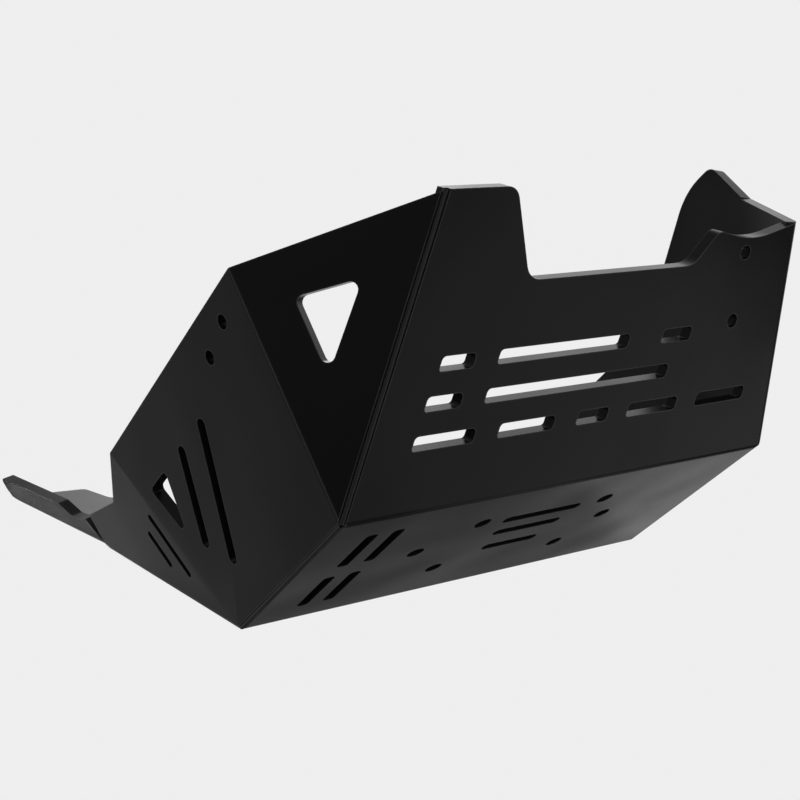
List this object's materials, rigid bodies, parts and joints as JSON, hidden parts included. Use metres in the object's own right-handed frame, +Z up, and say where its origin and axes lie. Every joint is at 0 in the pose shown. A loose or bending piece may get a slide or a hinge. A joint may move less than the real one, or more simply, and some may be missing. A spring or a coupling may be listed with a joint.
{
  "type": "motorcycle skid plate",
  "caption": "Folded thick plastic skid plate that wraps under a motorcycle engine, with a slotted belly, flared walls, a leaning front panel and a rear bulkhead.",
  "frame": {"origin": "middle of the belly's flat underside", "axes": "+Y to the rear of the motorcycle, +Z up, +X to the rider's left (the viewer's right from the front)"},
  "size_m": [0.4684, 0.383, 0.2091],
  "materials": {
    "main_sheet": "satin black polyethylene sheet with folded edges",
    "front_sheet": "satin black polyethylene sheet with folded edges",
    "weld": "smooth black weld bead"
  },
  "bodies": {
    "root": {"main_shell": "main_sheet", "front_shell": "front_sheet", "seam_weld": "weld"}
  },
  "joints": []
}
